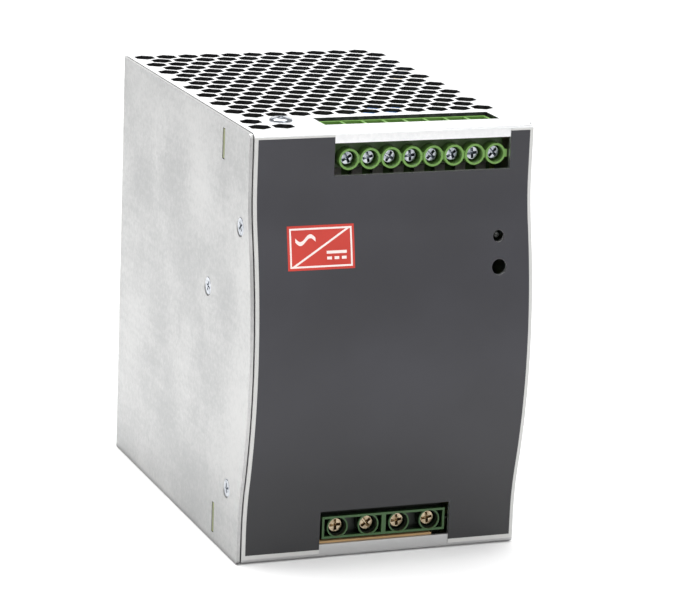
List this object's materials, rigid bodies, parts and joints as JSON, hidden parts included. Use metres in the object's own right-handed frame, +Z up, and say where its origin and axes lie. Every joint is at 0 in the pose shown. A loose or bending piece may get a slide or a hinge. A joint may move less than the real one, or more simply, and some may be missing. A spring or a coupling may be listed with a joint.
{
  "type": "din rail power supply",
  "caption": "Slim metal-cased power supply for a 35 mm rail, with a bowed front, screw terminals at top and bottom, vented top and bottom and a sprung rail latch.",
  "frame": {"origin": "middle of the bottom of the object's box", "axes": "+X across the front to the right as seen from the front, -Y out of the front, +Y towards the rail, +Z up"},
  "size_m": [0.0856, 0.1338, 0.1264],
  "materials": {
    "case_metal": "satin galvanised sheet",
    "label_film": "satin printed polyester film",
    "badge_film": "satin printed film",
    "zinc_steel": "bright zinc plate",
    "nickel_steel": "warm nickel plate",
    "circuit_board": "green solder resist on glass epoxy",
    "brass": "turned",
    "insulating_film": "clear satin film",
    "insulating_board": "pressed insulating board",
    "terminal_green": "moulded polyamide",
    "terminal_dark_green": "moulded polyamide",
    "tinned_copper": "tinned",
    "lamp_lens": "diffused epoxy",
    "trimmer_blue": "moulded",
    "white_plastic": "moulded",
    "ferrite": "ground ferrite",
    "winding_tape": "polyester tape",
    "enamelled_copper": "enamelled wire",
    "capacitor_sleeve": "shrink sleeve",
    "film_capacitor_blue": "dipped epoxy",
    "fuse_body": "ceramic",
    "heatsink_metal": "extruded",
    "black_epoxy": "moulded epoxy",
    "spring_steel": "wire"
  },
  "bodies": {
    "case": {"chassis": "case_metal", "cover": "case_metal", "front_label": "label_film", "badge": "badge_film", "cover_screws": "zinc_steel", "side_screws": "zinc_steel", "flange_screws": "zinc_steel", "terminal_board": "circuit_board", "main_board": "circuit_board", "board_standoffs": "brass", "insulation_sheet": "insulating_film", "terminal_insulator": "insulating_board", "output_terminal_housing": "terminal_green", "output_contacts": "tinned_copper", "input_terminal_housing": "terminal_dark_green", "input_contacts": "tinned_copper", "lamp": "lamp_lens", "trimmer_body": "trimmer_blue", "transformer_core": "ferrite", "transformer_winding": "winding_tape", "boost_choke": "enamelled_copper", "line_filter_choke": "enamelled_copper", "bulk_capacitors": "capacitor_sleeve", "output_capacitors": "capacitor_sleeve", "film_capacitors": "film_capacitor_blue", "fuse": "fuse_body", "side_heatsink": "heatsink_metal", "rear_heatsink": "heatsink_metal", "power_transistors": "black_epoxy", "rail_plate": "zinc_steel", "rail_plate_screws": "zinc_steel", "latch_springs": "spring_steel"},
    "output_screw_1": {"output_screw_1": "zinc_steel"},
    "output_screw_2": {"output_screw_2": "zinc_steel"},
    "output_screw_3": {"output_screw_3": "zinc_steel"},
    "output_screw_4": {"output_screw_4": "zinc_steel"},
    "output_screw_5": {"output_screw_5": "zinc_steel"},
    "output_screw_6": {"output_screw_6": "zinc_steel"},
    "output_screw_7": {"output_screw_7": "zinc_steel"},
    "output_screw_8": {"output_screw_8": "zinc_steel"},
    "output_cage_1": {"output_cage_1": "nickel_steel"},
    "output_cage_2": {"output_cage_2": "nickel_steel"},
    "output_cage_3": {"output_cage_3": "nickel_steel"},
    "output_cage_4": {"output_cage_4": "nickel_steel"},
    "output_cage_5": {"output_cage_5": "nickel_steel"},
    "output_cage_6": {"output_cage_6": "nickel_steel"},
    "output_cage_7": {"output_cage_7": "nickel_steel"},
    "output_cage_8": {"output_cage_8": "nickel_steel"},
    "input_screw_1": {"input_screw_1": "nickel_steel"},
    "input_screw_2": {"input_screw_2": "nickel_steel"},
    "input_screw_3": {"input_screw_3": "nickel_steel"},
    "input_screw_4": {"input_screw_4": "nickel_steel"},
    "input_cage_1": {"input_cage_1": "nickel_steel"},
    "input_cage_2": {"input_cage_2": "nickel_steel"},
    "input_cage_3": {"input_cage_3": "nickel_steel"},
    "input_cage_4": {"input_cage_4": "nickel_steel"},
    "trimmer_rotor": {"trimmer_rotor": "white_plastic"},
    "rail_latch": {"rail_latch": "zinc_steel"}
  },
  "joints": [
    {"name": "output_screw_1_turn", "type": "hinge", "parent": "case", "child": "output_screw_1", "pos_m": [-0.01273, -0.0557, 0.1167], "axis": [0, 1, 0], "range_deg": [0, 2448]},
    {"name": "output_cage_1_slide", "type": "slide", "parent": "case", "child": "output_cage_1", "axis": [0, -1, 0], "range_m": [0, 0.0034]},
    {"name": "output_screw_2_turn", "type": "hinge", "parent": "case", "child": "output_screw_2", "pos_m": [-0.00637, -0.0557, 0.1167], "axis": [0, 1, 0], "range_deg": [0, 2448]},
    {"name": "output_cage_2_slide", "type": "slide", "parent": "case", "child": "output_cage_2", "axis": [0, -1, 0], "range_m": [0, 0.0034]},
    {"name": "output_screw_3_turn", "type": "hinge", "parent": "case", "child": "output_screw_3", "pos_m": [-0.00003, -0.0557, 0.1167], "axis": [0, 1, 0], "range_deg": [0, 2448]},
    {"name": "output_cage_3_slide", "type": "slide", "parent": "case", "child": "output_cage_3", "axis": [0, -1, 0], "range_m": [0, 0.0034]},
    {"name": "output_screw_4_turn", "type": "hinge", "parent": "case", "child": "output_screw_4", "pos_m": [0.00632, -0.0557, 0.1167], "axis": [0, 1, 0], "range_deg": [0, 2448]},
    {"name": "output_cage_4_slide", "type": "slide", "parent": "case", "child": "output_cage_4", "axis": [0, -1, 0], "range_m": [0, 0.0034]},
    {"name": "output_screw_5_turn", "type": "hinge", "parent": "case", "child": "output_screw_5", "pos_m": [0.01268, -0.0557, 0.1167], "axis": [0, 1, 0], "range_deg": [0, 2448]},
    {"name": "output_cage_5_slide", "type": "slide", "parent": "case", "child": "output_cage_5", "axis": [0, -1, 0], "range_m": [0, 0.0034]},
    {"name": "output_screw_6_turn", "type": "hinge", "parent": "case", "child": "output_screw_6", "pos_m": [0.01903, -0.0557, 0.1167], "axis": [0, 1, 0], "range_deg": [0, 2448]},
    {"name": "output_cage_6_slide", "type": "slide", "parent": "case", "child": "output_cage_6", "axis": [0, -1, 0], "range_m": [0, 0.0034]},
    {"name": "output_screw_7_turn", "type": "hinge", "parent": "case", "child": "output_screw_7", "pos_m": [0.02538, -0.0557, 0.1167], "axis": [0, 1, 0], "range_deg": [0, 2448]},
    {"name": "output_cage_7_slide", "type": "slide", "parent": "case", "child": "output_cage_7", "axis": [0, -1, 0], "range_m": [0, 0.0034]},
    {"name": "output_screw_8_turn", "type": "hinge", "parent": "case", "child": "output_screw_8", "pos_m": [0.03173, -0.0557, 0.1167], "axis": [0, 1, 0], "range_deg": [0, 2448]},
    {"name": "output_cage_8_slide", "type": "slide", "parent": "case", "child": "output_cage_8", "axis": [0, -1, 0], "range_m": [0, 0.0034]},
    {"name": "input_screw_1_turn", "type": "hinge", "parent": "case", "child": "input_screw_1", "pos_m": [-0.01185, -0.0557, 0.0085], "axis": [0, 1, 0], "range_deg": [0, 2448]},
    {"name": "input_cage_1_slide", "type": "slide", "parent": "case", "child": "input_cage_1", "axis": [0, -1, 0], "range_m": [0, 0.0034]},
    {"name": "input_screw_2_turn", "type": "hinge", "parent": "case", "child": "input_screw_2", "pos_m": [-0.00235, -0.0557, 0.0085], "axis": [0, 1, 0], "range_deg": [0, 2448]},
    {"name": "input_cage_2_slide", "type": "slide", "parent": "case", "child": "input_cage_2", "axis": [0, -1, 0], "range_m": [0, 0.0034]},
    {"name": "input_screw_3_turn", "type": "hinge", "parent": "case", "child": "input_screw_3", "pos_m": [0.00715, -0.0557, 0.0085], "axis": [0, 1, 0], "range_deg": [0, 2448]},
    {"name": "input_cage_3_slide", "type": "slide", "parent": "case", "child": "input_cage_3", "axis": [0, -1, 0], "range_m": [0, 0.0034]},
    {"name": "input_screw_4_turn", "type": "hinge", "parent": "case", "child": "input_screw_4", "pos_m": [0.01665, -0.0557, 0.0085], "axis": [0, 1, 0], "range_deg": [0, 2448]},
    {"name": "input_cage_4_slide", "type": "slide", "parent": "case", "child": "input_cage_4", "axis": [0, -1, 0], "range_m": [0, 0.0034]},
    {"name": "trimmer_turn", "type": "hinge", "parent": "case", "child": "trimmer_rotor", "pos_m": [0.0324, -0.0487, 0.0847], "axis": [0, 1, 0], "range_deg": [-135, 135]},
    {"name": "rail_latch_slide", "type": "slide", "parent": "case", "child": "rail_latch", "axis": [0, 0, -1], "range_m": [0, 0.004], "stiffness_N_per_m": 1200, "springref_m": -0.003, "deforming": ["latch_springs"]}
  ],
  "couplings": [
    {"joint": "output_screw_1_turn", "follows": "output_cage_1_slide", "rad_per_m": 12566},
    {"joint": "output_screw_2_turn", "follows": "output_cage_2_slide", "rad_per_m": 12566},
    {"joint": "output_screw_3_turn", "follows": "output_cage_3_slide", "rad_per_m": 12566},
    {"joint": "output_screw_4_turn", "follows": "output_cage_4_slide", "rad_per_m": 12566},
    {"joint": "output_screw_5_turn", "follows": "output_cage_5_slide", "rad_per_m": 12566},
    {"joint": "output_screw_6_turn", "follows": "output_cage_6_slide", "rad_per_m": 12566},
    {"joint": "output_screw_7_turn", "follows": "output_cage_7_slide", "rad_per_m": 12566},
    {"joint": "output_screw_8_turn", "follows": "output_cage_8_slide", "rad_per_m": 12566},
    {"joint": "input_screw_1_turn", "follows": "input_cage_1_slide", "rad_per_m": 12566},
    {"joint": "input_screw_2_turn", "follows": "input_cage_2_slide", "rad_per_m": 12566},
    {"joint": "input_screw_3_turn", "follows": "input_cage_3_slide", "rad_per_m": 12566},
    {"joint": "input_screw_4_turn", "follows": "input_cage_4_slide", "rad_per_m": 12566}
  ]
}
